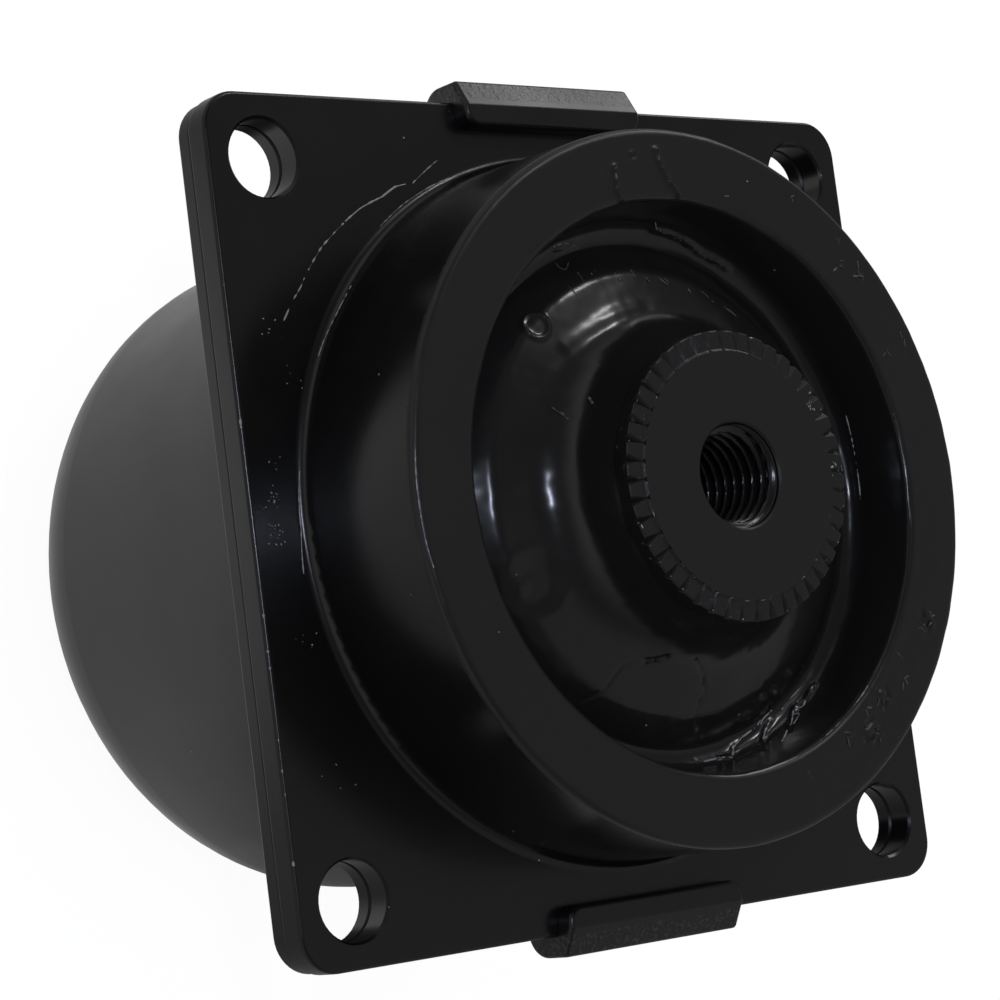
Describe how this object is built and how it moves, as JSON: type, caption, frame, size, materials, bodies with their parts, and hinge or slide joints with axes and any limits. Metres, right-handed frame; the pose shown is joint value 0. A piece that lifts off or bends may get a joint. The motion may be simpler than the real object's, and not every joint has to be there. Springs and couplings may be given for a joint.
{
  "type": "cab mount",
  "caption": "Fluid-damped cab mount: square flange with corner bolt holes, rubber spring and serrated threaded boss on one side, deep drawn cup on the other.",
  "frame": {"origin": "middle of the cup's bottom, on its resting face", "axes": "+Z along the boss, from the cup's bottom towards the threaded face; X across the two folded tabs, Y along the other two flange edges"},
  "size_m": [0.1366, 0.13, 0.1228],
  "materials": {
    "black_paint": "semi-gloss black paint over steel",
    "painted_rubber": "black rubber under the same semi-gloss black paint",
    "inner_rubber": "plain moulded black rubber",
    "bare_steel": "oiled steel",
    "spring_steel": "dark oiled spring steel"
  },
  "bodies": {
    "case": {"upper_housing": "black_paint", "fluid_cup": "black_paint", "rubber_spring": "painted_rubber", "coil_spring": "spring_steel", "spring_cushion": "inner_rubber"},
    "hub": {"center_boss": "black_paint", "damper_plate": "bare_steel", "rebound_buffer": "inner_rubber", "plate_washer": "bare_steel", "plate_screw": "bare_steel", "spring_cap": "bare_steel"}
  },
  "joints": [
    {"name": "boss_travel", "type": "slide", "parent": "case", "child": "hub", "axis": [0, 0, 1], "range_m": [-0.0075, 0.005], "stiffness_N_per_m": 250000, "deforming": ["rubber_spring", "coil_spring"]}
  ]
}
